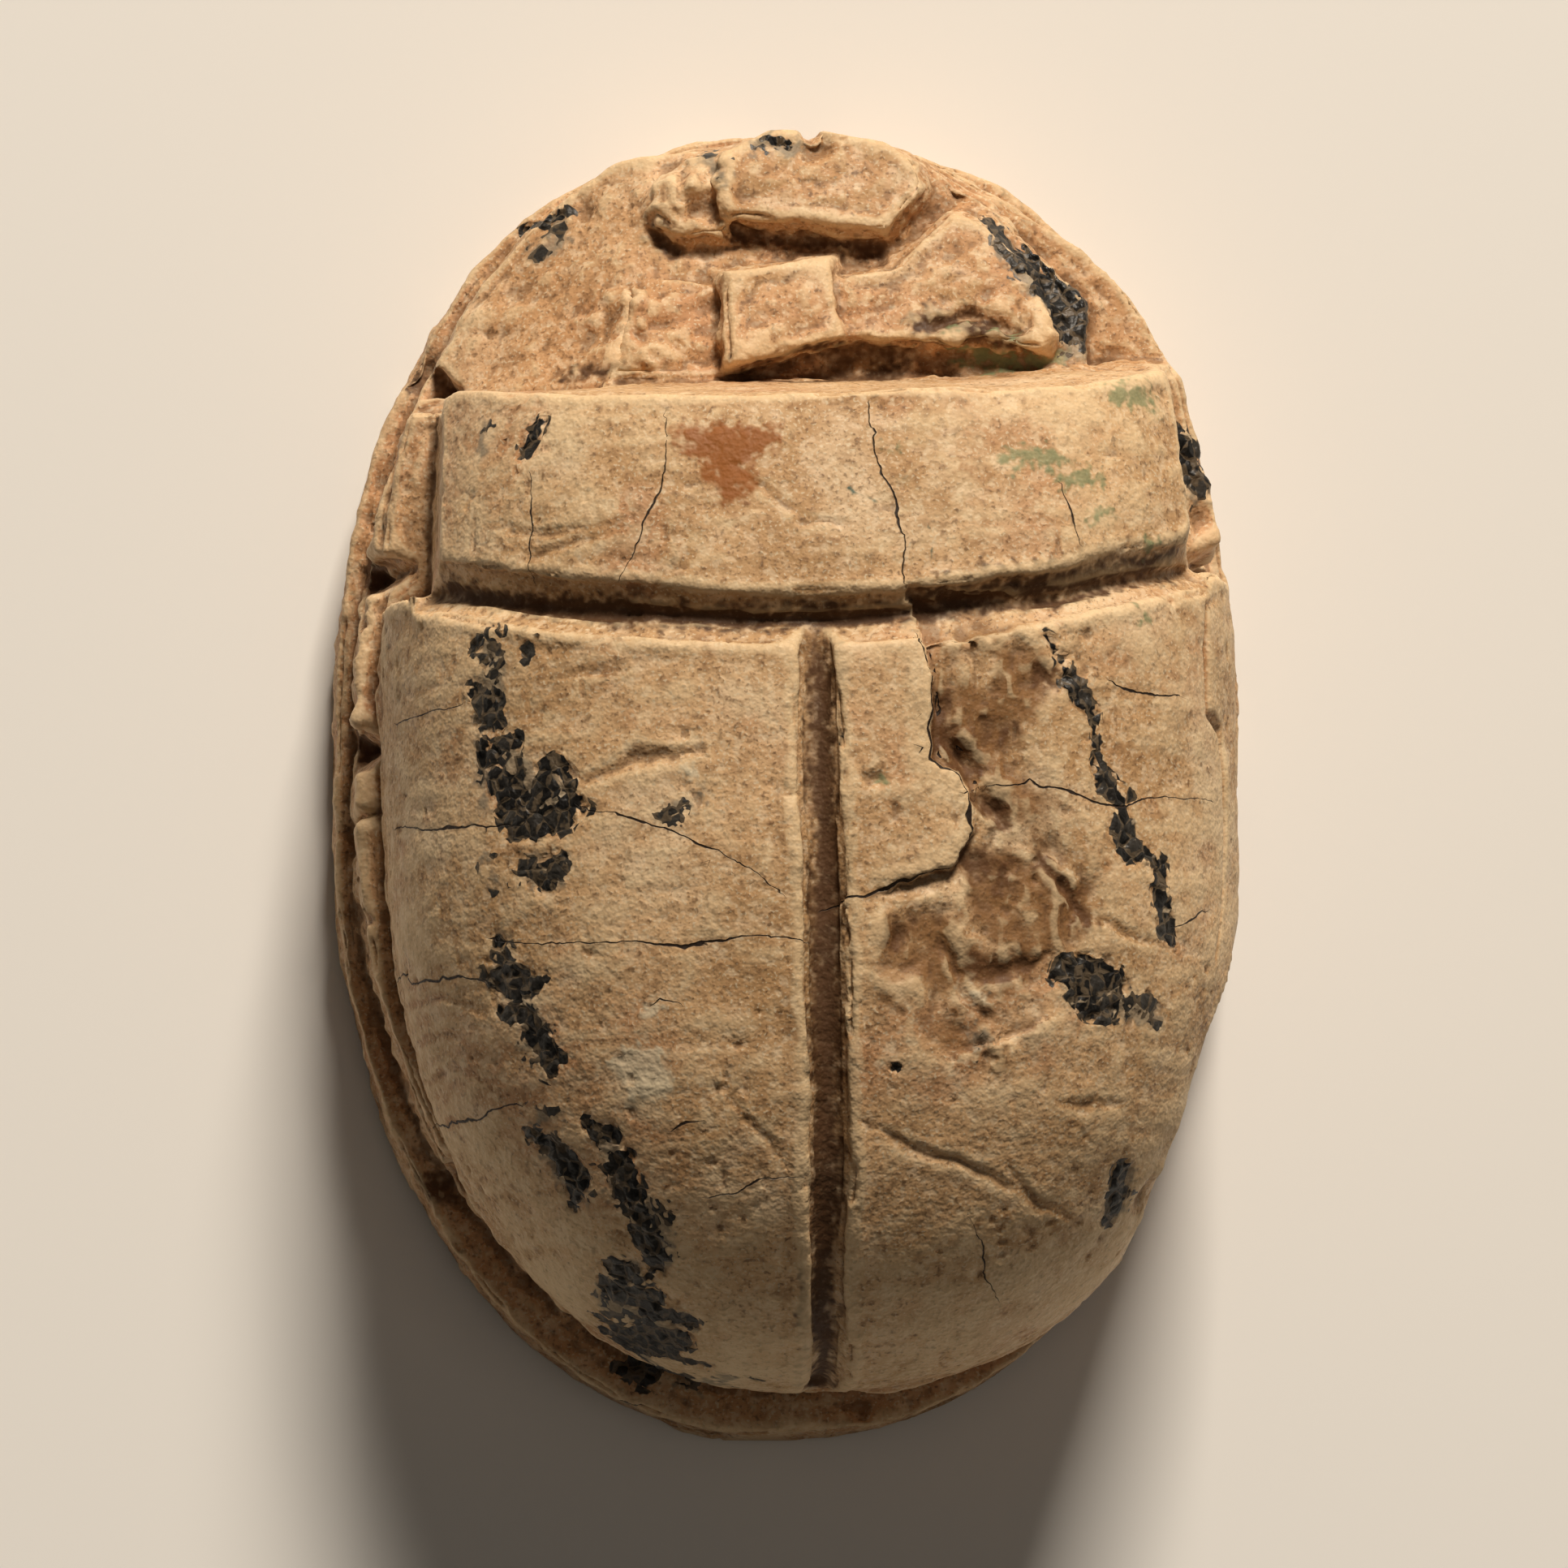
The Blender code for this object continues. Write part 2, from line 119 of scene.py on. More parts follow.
def read(mesh, source, key, width):
    """Numbers of a mesh as an array with this many columns."""
    items = getattr(mesh, source)
    values = np.empty(len(items) * width, np.int32 if key == "vertices" else np.float32)
    items.foreach_get(key, values)
    return values.reshape(-1, width).astype(np.int64 if key == "vertices" else np.float64)


def look_over(mesh):
    """A mesh's edges as pairs of points, the places of its points, and the way each point faces."""
    return (
        read(mesh, "edges", "vertices", 2),
        read(mesh, "vertices", "co", 3),
        read(mesh, "vertex_normals", "vector", 3),
    )


def ease(places, pairs, times):
    """Draws each point towards the middle of its neighbours, as rubbing wears a stone."""
    first, second = pairs[:, 0], pairs[:, 1]
    many = len(places)
    neighbours = np.bincount(pairs.ravel(), minlength=many)
    places = places.copy()
    for _ in range(times):
        for axis in range(3):
            line = places[:, axis]
            total = np.bincount(first, line[second], many) + np.bincount(second, line[first], many)
            places[:, axis] = line + 0.5 * (total / neighbours - line)
    return places


def ramp(values, low, high):
    """0 at low, 1 at high, and smooth between them."""
    share = np.clip((values - low) / (high - low), 0, 1)
    return share * share * (3 - 2 * share)


def noise(places, size, seed):
    """Smooth random values from -1 to 1 that change over about this many millimetres."""
    cells = 64
    lattice = np.random.default_rng(seed).uniform(-1, 1, (cells, cells, cells))
    at = places / size + seed * 7.31
    base = np.floor(at).astype(np.int64)
    part = at - base
    part = part**3 * (part * (part * 6 - 15) + 10)
    value = np.zeros(len(places))
    for corner in itertools.product((0, 1), repeat=3):
        weight = np.prod(np.where(corner, part, 1 - part), axis=1)
        cell = (base + corner) % cells
        value += weight * lattice[cell[:, 0], cell[:, 1], cell[:, 2]]
    return value


def strokes(places, angle, across, along, seed):
    """Noise drawn out into strokes that run at this angle from the beetle's right."""
    turn, lean = math.cos(math.radians(angle)), math.sin(math.radians(angle))
    first = (places[:, 0] * turn + places[:, 1] * lean) / along
    second = (places[:, 1] * turn - places[:, 0] * lean) / across
    return noise(np.stack([first, second, places[:, 2] / along], 1), 1.0, seed)


# Rubbing has eased the broad faces most, and the carved lines and edges hardly at all
pairs, raw, facing = look_over(stone.data)
broad = ease(raw, pairs, EASING_BROAD)
close = ease(raw, pairs, EASING_CLOSE)
carved = ramp(np.linalg.norm(broad - close, axis=1), 0.012, 0.05)[:, None]
places = broad * (1 - carved) + close * carved
proud = np.sum((close - broad) * facing, axis=1)
edge = np.sum((close - ease(raw, pairs, EASING_EDGES)) * facing, axis=1)

# The underside stays flat, because the amulet lies on it
UNDERSIDE_BAND = 0.10
keeps_flat = ramp(places[:, 2], 0.02, UNDERSIDE_BAND)

# Marks are placed by the photograph's pixels, and fall on the stone where the camera sees them
THIN_END = 0.45
surface = BVHTree.FromPolygons(
    [Vector(place) for place in places], [tuple(face.vertices) for face in stone.data.polygons]
)


def on_stone(u, v):
    """The place on the stone that this pixel of the photograph shows."""
    aim = camera_right * ((u - PHOTO_SIDE / 2) / PIXELS_PER_MM * MM)
    aim += camera_up * ((PHOTO_SIDE / 2 - v) / PIXELS_PER_MM * MM)
    ray = (aim - camera_back * CAMERA_DISTANCE).normalized()
    hit = surface.ray_cast(camera_place / MM, ray)[0]
    return None if hit is None else np.array(hit)


def routes(lines):
    """Turns lines given by the photograph's pixels, and their widths, into lines on the stone."""
    made = []
    for line in lines:
        hits = [(on_stone(u, v), width) for u, v, width in line]
        made.append([(place, width) for place, width in hits if place is not None])
    return [line for line in made if line]


def tapered(width, pixels):
    """A line that is widest in its middle and thins towards both ends."""
    last = len(pixels) - 1
    return [
        (u, v, width * max(THIN_END, math.sin(math.pi * i / last)) if last else width)
        for i, (u, v) in enumerate(pixels)
    ]


def spot_at(u, v, radius):
    """1 in the middle of a round spot on the stone, and almost nothing beyond its radius."""
    middle = on_stone(u, v)
    if middle is None:
        return np.zeros(len(places))
    return np.exp(-(np.linalg.norm(places - middle, axis=1) / radius) ** 2 * 2)


def beside(points, facings, lines, reach):
    """How far each point lies to the side of the nearest line, that line's width there, and the gap
    from the point to the line's rim, which is negative inside it. To the left of the line's run the
    distance to its side is positive. Beyond reach both distances stay at reach."""
    side = np.full(len(points), reach)
    width = np.zeros(len(points))
    gap = np.full(len(points), reach)
    for line in lines:
        stretches = list(zip(line, line[1:])) or [(line[0], line[0])]
        for (start, start_width), (end, end_width) in stretches:
            low = np.minimum(start, end) - reach
            high = np.maximum(start, end) + reach
            near = np.nonzero(np.all((points > low) & (points < high), axis=1))[0]
            if not len(near):
                continue
            run = end - start
            long = max(float(run @ run), 1e-9)
            share = np.clip((points[near] - start) @ run / long, 0, 1)
            off = points[near] - start - share[:, None] * run
            off -= np.sum(off * facings[near], axis=1)[:, None] * facings[near]
            away = np.linalg.norm(off, axis=1)
            here = start_width + share * (end_width - start_width)
            closer = away - here / 2 < gap[near]
            chosen = near[closer]
            turn = np.sum(np.cross(run, off[closer]) * facings[chosen], axis=1)
            gap[chosen] = (away - here / 2)[closer]
            side[chosen] = np.where(turn < 0, -1, 1) * away[closer]
            width[chosen] = here[closer]
    return side, width, gap


# Cracks, by their greatest width in millimetres and the pixels of the photograph they pass
CRACKS = [
    (0.07, [(1020, 1122), (1058, 1104), (1094, 1096), (1129, 1078), (1150, 1075), (1176, 1069)]),
    (0.05, [(1174, 1069), (1192, 1047), (1199, 1022), (1192, 1004), (1199, 976), (1202, 966)]),
    (0.036, [(1202, 966), (1237, 966), (1266, 964), (1294, 971), (1322, 980), (1364, 990),
            (1387, 994), (1406, 992), (1441, 987), (1490, 984)]),
    (0.08, [(1134, 788), (1137, 810), (1143, 826), (1150, 857), (1152, 871), (1146, 893),
            (1151, 910), (1150, 931), (1162, 940), (1181, 944), (1196, 958), (1200, 972)]),
    (0.036, [(485, 1023), (510, 1022), (540, 1024), (571, 1022), (605, 1018), (640, 1014)]),
    (0.028, [(715, 990), (740, 997), (754, 1001), (785, 1011), (808, 1018), (831, 1028),
             (873, 1047), (900, 1058), (940, 1080), (962, 1098)]),
    (0.038, [(600, 1160), (700, 1163), (770, 1162), (800, 1162), (830, 1163), (858, 1162),
             (875, 1159), (920, 1151), (960, 1151), (992, 1156)]),
    (0.04, [(490, 1204), (530, 1206), (565, 1207), (600, 1210)]),
    (0.04, [(530, 1391), (560, 1382), (600, 1372), (640, 1362)]),
    (0.03, [(485, 893), (510, 885), (540, 875), (570, 868)]),
    (0.024, [(825, 515), (822, 570), (810, 610), (795, 640), (778, 680), (760, 718)]),
    (0.032, [(1068, 500), (1078, 540), (1090, 590), (1100, 630), (1110, 660), (1120, 715)]),
    (0.025, [(657, 590), (652, 650), (655, 715)]),
    (0.025, [(1310, 600), (1322, 630), (1332, 665)]),
    (0.035, [(1448, 1140), (1472, 1131), (1490, 1124)]),
    (0.025, [(1195, 1500), (1212, 1545), (1230, 1605)]),
    (0.035, [(870, 1478), (905, 1466), (930, 1452), (955, 1448), (985, 1446)]),
    (0.035, [(1371, 836), (1406, 850), (1458, 864)]),
    (0.03, [(800, 1231), (812, 1225), (831, 1235)]),
    (0.035, [(830, 1393), (845, 1388), (858, 1386)]),
]
crack_routes = routes([tapered(width, pixels) for width, pixels in CRACKS])

# Lines cut with the point: round the brow and the cheek, and along the right wing case's edge
CUTS = [
    (0.10, [(1022, 330), (1032, 350), (1040, 385), (1050, 424)]),
    (0.16, [(1125, 432), (1160, 398), (1195, 384), (1235, 402), (1272, 438)]),
    (0.12, [(1470, 700), (1486, 745), (1486, 801), (1490, 878), (1505, 900), (1510, 1000),
            (1509, 1096), (1496, 1180)]),
]
cut_routes = routes([tapered(width, pixels) for width, pixels in CUTS])

# Shallow gouges and tool marks, wide and soft
GOUGES = [
    (0.20, [(724, 959), (754, 947), (789, 932), (823, 932), (865, 925)]),
    (0.13, [(1060, 1385), (1090, 1398), (1130, 1415), (1190, 1440), (1250, 1462), (1310, 1490)]),
    (0.12, [(1300, 1352), (1340, 1360), (1385, 1362)]),
    (0.14, [(690, 832), (730, 822), (770, 828)]),
    (0.22, [(1082, 945), (1076, 960), (1070, 972)]),
    (0.12, [(600, 650), (680, 655), (760, 645)]),
    (0.12, [(620, 700), (700, 668), (770, 650)]),
    (0.10, [(900, 565), (990, 640), (1050, 645)]),
    (0.18, [(1175, 1190), (1210, 1205), (1260, 1190), (1290, 1175)]),
    (0.12, [(1346, 1127), (1371, 1134), (1399, 1152), (1441, 1169)]),
    (0.09, [(880, 1330), (940, 1400), (980, 1440)]),
    (0.12, [(1240, 1440), (1280, 1480), (1320, 1500)]),
    (0.09, [(500, 1240), (545, 1228), (590, 1246)]),
    (0.08, [(512, 1282), (550, 1276), (578, 1290)]),
    (0.09, [(520, 1331), (565, 1318), (620, 1335)]),
    (0.14, [(1285, 1058), (1310, 1090), (1345, 1135)]),
    (0.22, [(1160, 905), (1190, 925), (1212, 940)]),
    (0.20, [(1212, 975), (1228, 1000), (1238, 1024)]),
    (0.20, [(1276, 822), (1306, 845)]),
]
gouge_routes = routes([tapered(width, pixels) for width, pixels in GOUGES])

# The right wing case has lost a flake: its surface is rough and lies lower beyond this edge
FLAKE_EDGE = [(1132, 785), (1150, 857), (1151, 931), (1181, 945), (1199, 966), (1199, 1022),
              (1174, 1069), (1129, 1080), (1094, 1098), (1058, 1106), (1022, 1124)]
FLAKE = [(1225, 840, 1.5), (1215, 930, 1.1), (1235, 1030, 1.5), (1290, 1100, 1.5),
         (1225, 1170, 1.6), (1150, 1190, 1.5), (1220, 1240, 1.4)]
FLAKE_DEPTH = 0.09
FLAKE_STEP = 0.10
flake_routes = routes([FLAKE])
flake_edge = routes([[(u, v, 0.02) for u, v in FLAKE_EDGE]])

# The veins, as black mineral in the stone: each line gives pixels of the photograph and widths
LEFT_VEIN = [
    [(582, 796, .08), (592, 784, .12)], [(618, 780, .08)], [(647, 802, .13)], [(600, 812, .10)],
    [(582, 852, .26), (604, 863, .32)], [(590, 888, .18), (612, 886, .18)],
    [(597, 916, .13), (596, 942, .13)], [(615, 918, .22), (634, 912, .20)],
    [(612, 958, .34), (625, 985, .52), (634, 1008, .42)],
    [(655, 985, .34), (668, 950, .32), (690, 942, .28), (704, 960, .20)],
    [(706, 984, .24), (688, 1008, .36), (660, 1016, .40)], [(684, 972, .16)],
    [(712, 992, .12), (727, 994, .05)],
    [(640, 1068, .08), (664, 1062, .12), (690, 1063, .20)], [(672, 1084, .25)],
    [(611, 1160, .10)], [(618, 1180, .10)],
    [(607, 1204, .26), (628, 1208, .42), (648, 1212, .28), (670, 1206, .06)],
    [(617, 1242, .16), (640, 1250, .24), (660, 1264, .16)],
    [(648, 1275, .16), (668, 1288, .30), (686, 1300, .18)], [(675, 1322, .16)],
    [(655, 1402, .18), (674, 1410, .32), (690, 1430, .42), (706, 1455, .38), (706, 1484, .18)],
    [(733, 1394, .24), (750, 1398, .26)],
    [(762, 1424, .12)], [(750, 1440, .12)], [(768, 1448, .14)], [(765, 1472, .14)],
    [(780, 1520, .12)], [(813, 1553, .14)], [(806, 1568, .14)],
    [(756, 1560, .28), (780, 1564, .32)],
    [(766, 1428, .26), (782, 1470, .30), (790, 1500, .26)], [(800, 1530, .30), (812, 1556, .30)],
    [(745, 1580, .22), (760, 1596, .34), (790, 1600, .40), (812, 1596, .26)],
    [(742, 1640, .30), (770, 1655, .50), (808, 1650, .60), (838, 1650, .40)],
    [(790, 1685, .40), (825, 1690, .42), (852, 1694, .26)],
    [(792, 1620, .26), (820, 1623, .28)], [(848, 1630, .24)],
    [(736, 1622, .22), (760, 1636, .28), (790, 1637, .20)],
    [(797, 1666, .10), (832, 1666, .10)], [(760, 1685, .12), (782, 1690, .12)],
    [(848, 1672, .14), (870, 1680, .18)],
]
RIGHT_VEIN = [
    [(1294, 780, .03), (1301, 801, .05), (1306, 810, .12), (1314, 832, .15), (1318, 840, .15),
     (1334, 858, .18), (1344, 870, .13), (1350, 884, .11), (1354, 905, .04), (1355, 925, .04),
     (1354, 936, .10), (1363, 953, .16), (1369, 962, .20), (1380, 988, .22)], [(1392, 984, .13)],
    [(1385, 1006, .24), (1389, 1028, .34), (1394, 1046, .26), (1414, 1050, .20), (1432, 1064, .18),
     (1427, 1090, .20), (1431, 1115, .33), (1436, 1142, .27), (1445, 1166, .06)],
    [(1310, 1195, .28), (1333, 1205, .56), (1362, 1212, .60)], [(1345, 1228, .52), (1366, 1238, .40)],
]
OTHER_VEINS = [
    [(1385, 1440, .28), (1378, 1468, .38), (1368, 1496, .24)],
    [(1446, 538, .30), (1464, 565, .42), (1480, 600, .26)],
    [(650, 284, .12), (672, 270, .22), (696, 262, .16)],
    [(1224, 272, .20), (1246, 298, .42), (1278, 335, .56), (1302, 375, .58), (1316, 410, .44)],
    [(666, 520, .16), (656, 540, .26), (648, 562, .18)],
    [(945, 170, .12), (970, 174, .10)],
    [(1100, 1318, .06)],
]
vein_routes = routes(LEFT_VEIN + RIGHT_VEIN + OTHER_VEINS)

# Soft grey mineral round and between the veins
GREY_MINERAL = [
    [(600, 800, .26), (612, 822, .34), (600, 850, .40), (598, 890, .34)],
    [(592, 940, .26), (592, 1000, .16)],
    [(630, 935, .40), (650, 985, .70), (684, 975, .60)],
    [(597, 1050, .16), (611, 1092, .12)],
    [(655, 1070, .34), (680, 1078, .30)],
    [(618, 1180, .26), (628, 1215, .46), (645, 1255, .46), (670, 1295, .40)],
    [(650, 1374, .12), (695, 1372, .14)],
    [(680, 1425, .46), (706, 1465, .40)],
    [(745, 1405, .34), (762, 1450, .40), (776, 1490, .40), (810, 1505, .46), (815, 1550, .42)],
    [(775, 1562, .40), (750, 1605, .48), (790, 1625, .46), (840, 1628, .34)],
    [(783, 1660, .26), (824, 1688, .32), (848, 1704, .22), (890, 1694, .24), (925, 1698, .14)],
    [(600, 532, .24), (588, 560, .12)],
    [(655, 320, .30), (690, 300, .34), (690, 275, .30)],
    [(870, 190, .20), (890, 215, .14)], [(935, 176, .22), (985, 178, .16)],
    [(1380, 1235, .34), (1412, 1252, .36), (1424, 1268, .20)],
    [(1385, 1450, .40), (1374, 1490, .34)],
    [(1452, 560, .60), (1478, 600, .36)],
    [(1232, 282, .36), (1280, 345, .70), (1306, 390, .74), (1318, 425, .50)],
    [(825, 1000, .24), (855, 990, .18)], [(1205, 1278, .26)],
]
grey_routes = routes(GREY_MINERAL)

# Pale seams across the largest dark patch and the right vein
PALE_SEAMS = [[(1358, 1176), (1367, 1201)], [(1320, 1236), (1357, 1227), (1381, 1211), (1394, 1206)],
              [(1358, 1258), (1387, 1230)], [(1418, 1102), (1446, 1094)], [(1420, 1128), (1448, 1118)],
              [(1376, 1022), (1406, 1012)], [(1378, 1044), (1404, 1034)]]
seam_routes = routes([[(u, v, 0.018) for u, v in line] for line in PALE_SEAMS])

# Dark brown along the carved lines: real soil that has stayed in the middle groove, and painted shade
# along the neck groove and under the head's plates, where their walls face away from the light
SOIL_AND_SHADE = [
    [(1018, 800, .16), (1016, 860, .34), (1018, 1000, .36), (1018, 1150, .34), (1016, 1300, .38),
     (1012, 1450, .42), (1008, 1600, .40), (1005, 1705, .34)],
    [(548, 722, .20), (640, 742, .30), (760, 757, .34), (900, 763, .36), (1010, 760, .36),
     (1150, 744, .32), (1300, 715, .32), (1440, 684, .28)],
    [(905, 462, .20), (985, 470, .22), (1120, 452, .16)], [(810, 285, .20), (828, 312, .14)],
    [(505, 462, .22), (555, 478, .20)], [(905, 290, .10), (985, 302, .12), (1085, 312, .10)],
    [(1140, 395, .22), (1190, 400, .30), (1250, 430, .22)], [(700, 465, .10), (760, 455, .12)],
]
soil_and_shade_routes = routes(SOIL_AND_SHADE)
# Dark brown patches of painted shade: in the pits of the lost flake on the right wing case, and in the
# notches and on the lower slope of the left flank
BROWN_SHADE_PATCHES = [
    [(1168, 908, .32), (1200, 932, .36)], [(1225, 896, .22)], [(1286, 830, .34)],
    [(1222, 985, .30), (1232, 1015, .28)], [(1290, 1062, .22), (1342, 1132, .28)],
    [(1185, 1182, .20), (1225, 1194, .32), (1262, 1180, .20)], [(1160, 860, .26), (1158, 890, .28)],
    [(1205, 1060, .26), (1240, 1085, .30)], [(1110, 1150, .22)], [(1250, 900, .20)],
    [(465, 700, .90)], [(455, 915, .60)], [(470, 1008, .30)], [(532, 1465, .50)],
]
brown_shade_routes = routes(BROWN_SHADE_PATCHES)

# Stains: an iron spot, the last of the green glaze, thin dark green lines, and pale lime
RUST = [[(848, 530, .26), (872, 540, .50), (905, 546, .62), (940, 542, .44)],
        [(888, 566, .60), (912, 588, .44), (900, 608, .20)], [(1186, 578, .12)]]
GLAZE = [[(1232, 570, .26), (1265, 558, .34), (1295, 568, .30), (1318, 592, .26), (1350, 585, .30)],
         [(1352, 640, .26), (1365, 632, .20)], [(1375, 490, .40), (1415, 500, .40)],
         [(1420, 670, .26)], [(1410, 760, .24)], [(1180, 432, .20), (1240, 448, .34), (1300, 440, .26)],
         [(1100, 548, .14)], [(1085, 962, .14)]]
TEAL = [[(1050, 606, .05), (1074, 613, .05)], [(1143, 650, .05), (1146, 700, .04)],
        [(1006, 578, .05)], [(1003, 583, .04)]]
LIME = [[(766, 1314, .40), (798, 1308, .46), (816, 1335, .40), (785, 1346, .26)], [(800, 1240, .22)],
        [(1190, 1215, .12), (1215, 1230, .09)], [(845, 950, .12)]]
rust_routes, glaze_routes, teal_routes, lime_routes = map(routes, (RUST, GLAZE, TEAL, LIME))

# The hand's unevenness, from the whole back down to single strokes of the tool
UNEVENNESS = ((2.6, 0.045), (1.1, 0.022), (0.45, 0.010), (0.2, 0.006))
LINE_WOBBLE = 0.06
drift = np.stack([noise(places, 1.3, 11), noise(places, 1.3, 12), noise(places, 1.3, 13) * 0.4], 1)
drift += 0.25 * np.stack([noise(places, 0.4, 14), noise(places, 0.4, 15), noise(places, 0.4, 16)], 1)
lift = 0.007 * strokes(places, 4, 0.13, 1.6, 17) + 0.005 * strokes(places, 50, 0.12, 1.0, 18)
for seed, (size, height) in enumerate(UNEVENNESS):
    lift += height * noise(places, size, 20 + seed)

# Rough broken ground round the head, on the ledges, and on the flanks under the wing cases
HEAD_STARTS = 4.9
NECK_HEIGHT = 4.4
NECK_FALL = 0.9
LEDGE_HEIGHT = 3.6
GROUND_FADE = 0.5
LEFT_BREAK = (630, 370, 1.9)


def broken_ground(points):
    """How far each point is in the head, whose start falls back at the neck, and on a ledge."""
    along = points[:, 1] + NECK_FALL * (NECK_HEIGHT - points[:, 2])
    in_head = ramp(along, HEAD_STARTS, HEAD_STARTS + GROUND_FADE)
    in_ledge = 1 - ramp(points[:, 2], LEDGE_HEIGHT - GROUND_FADE, LEDGE_HEIGHT)
    return in_head, in_ledge


in_head, in_ledge = broken_ground(places)
rough = np.clip(np.maximum(in_head, in_ledge), 0, 1) * (0.45 + 0.55 * ramp(proud, 0.04, -0.02))
break_spot = spot_at(*LEFT_BREAK)
rough *= 1 - 0.6 * break_spot
lift += rough * (0.045 * noise(places, 0.5, 31) + 0.030 * strokes(places, 30, 0.2, 0.5, 32))
lift += rough * 0.022 * noise(places, 0.11, 33)

# Places broken rougher than the rest: pixel of the photograph, radius, height and seed
ROUGH_SPOTS = [(785, 405, 1.1, 0.20, 34), (845, 240, 0.7, 0.28, 35), (1200, 400, 0.8, 0.14, 36),
               (1275, 350, 0.7, 0.10, 37), (455, 860, 0.8, 0.12, 38), (640, 380, 1.8, 0.03, 39),
               (1450, 590, 1.0, 0.06, 30)]
for u, v, radius, height, seed in ROUGH_SPOTS:
    splinters = strokes(places, seed * 37, 0.28, 0.6, seed)
    splinters += 0.4 * noise(places, 0.15, seed + 60)
    lift += spot_at(u, v, radius) * height * splinters

# The beetle's left shoulder was lost on a slant, and long scratches cross the break
SCRATCH_HEIGHT = 0.05
RIDGE_HEIGHT = 0.04
scratches = SCRATCH_HEIGHT * strokes(places, 48, 0.13, 1.3, 19)
lift += break_spot * (scratches + RIDGE_HEIGHT * strokes(places, 56, 0.3, 2.0, 29))

# The stump of the lost side plate has no edges left, and the chipped end of the clypeus is still
# joined to its plate
STUMP = (785, 405)
STUMP_RADIUS = 1.0
STUMP_LOSS = 0.28
CLYPEUS_JOINT = [(898, 200, 0.1), (896, 268, 0.1)]
JOINT_RISE = 0.10
stump = np.exp(-(np.linalg.norm(places - on_stone(*STUMP), axis=1) / STUMP_RADIUS) ** 4)
lift -= STUMP_LOSS * stump * ramp(edge, 0.0, 0.05)
joined = beside(places, facing, routes([CLYPEUS_JOINT]), 0.5)[2]
lift += JOINT_RISE * (1 - ramp(joined, -0.05, 0.16))

# Bites out of the rim, by the photograph's pixels and their radius
BITES = [(1492, 1268, 0.40), (1410, 1474, 0.35), (1008, 178, 0.30), (722, 262, 0.25),
         (1178, 240, 0.30), (838, 205, 0.30), (1478, 640, 0.25), (512, 462, 0.35),
         (1060, 1738, 0.25)]
BITE_DEPTH = 0.16
for u, v, radius in BITES:
    lift -= BITE_DEPTH * spot_at(u, v, radius)

# Cut lines, cracks and gouges. No line runs quite straight. The depths of cuts and gouges, and
# the lip beside a gouge, are shares of the line's width.
CUT_DEPTH = 0.9
GOUGE_DEPTH = 0.35
GOUGE_LIP = 0.12
CRACK_DEPTH = 0.08
CRACK_SPREAD = 0.055
LINE_REACH = 0.30
GOUGE_REACH = 0.40


def wander(points):
    """Moves points a little, so that a line found beside them wavers as a crack does."""
    slow = [noise(points, 0.55, seed) for seed in (91, 92, 93)]
    quick = [noise(points, 0.16, seed) for seed in (94, 95, 96)]
    return points + 0.07 * np.stack(slow, 1) + 0.035 * np.stack(quick, 1)


wandered = wander(places)
cut_side, cut_width, _ = beside(places, facing, cut_routes, LINE_REACH)
lift -= CUT_DEPTH * cut_width * np.exp(-((cut_side / np.maximum(cut_width, 0.03)) ** 2) * 2)
crack_side, crack_width, _ = beside(wandered, facing, crack_routes, LINE_REACH)
lift -= CRACK_DEPTH * ramp(crack_width, 0.02, 0.10) * np.exp(-((crack_side / CRACK_SPREAD) ** 2))
gouge_side, gouge_width, _ = beside(wandered, facing, gouge_routes, GOUGE_REACH)
lift -= GOUGE_DEPTH * gouge_width * np.exp(-((gouge_side / np.maximum(gouge_width, 0.05)) ** 2) * 2)
lift += GOUGE_LIP * gouge_width * np.exp(-(((np.abs(gouge_side) - gouge_width) / 0.1) ** 2))

# The lost flake: deepest just past its edge, torn in ridges, and with the patches of painted shade sunk in
# it
EDGE_REACH = 2.5
FLAKE_REACH = 1.2
PATCH_DEPTH = 0.035
edge_side, _, edge_gap = beside(wandered, facing, flake_edge, EDGE_REACH)
_, _, flake_gap = beside(wandered, facing, flake_routes, FLAKE_REACH)
in_flake = 1 - ramp(flake_gap, -0.2, 0.45)
past_edge = ramp(edge_side, -0.04, 0.04)
near_edge = edge_gap < EDGE_REACH - 0.1
sunk = np.maximum(in_flake, np.exp(-np.abs(edge_side) / 0.5)) * past_edge * near_edge
sunk *= ramp(places[:, 0], 0.6, 1.5)
worn = np.clip(in_flake * past_edge, 0, 1)
lift -= sunk * (FLAKE_DEPTH + FLAKE_STEP * np.exp(-((edge_side / 0.6) ** 2)))
_, _, brown_shade_gap = beside(wandered, facing, brown_shade_routes, LINE_REACH)
lift -= PATCH_DEPTH * (1 - ramp(brown_shade_gap, -0.16, 0.10))
torn = places + 0.35 * np.stack([noise(places, 0.7, seed) for seed in (41, 42, 43)], 1)
torn *= (1.0, 0.7, 1.0)
lift += worn * (0.09 * np.abs(noise(torn, 1.0, 44)) - 0.03 + 0.025 * np.abs(noise(torn, 0.35, 45)))
lift += worn * (0.022 * noise(places, 0.12, 46) + 0.05 * strokes(torn, -52, 0.22, 1.2, 47))

# The veins are crumbled: their cells stand a little proud or have fallen out
_, _, vein_gap = beside(wandered, facing, vein_routes, LINE_REACH)
in_vein = 1 - ramp(vein_gap, 0.0, 0.10)
lift += in_vein * (0.045 * noise(places, 0.11, 51) - 0.02)

# Chips along the sharp edges
CHIP_DEPTH = 0.14
NIBBLE_DEPTH = 0.03
sharp = ramp(edge, 0.012, 0.05)
chipped = ramp(noise(places, 0.9, 61) + 0.6 * noise(places, 0.3, 62), 0.15, 0.7)
lift -= CHIP_DEPTH * sharp * chipped
lift -= NIBBLE_DEPTH * sharp * ramp(noise(places, 0.18, 63), 0.0, 0.5)

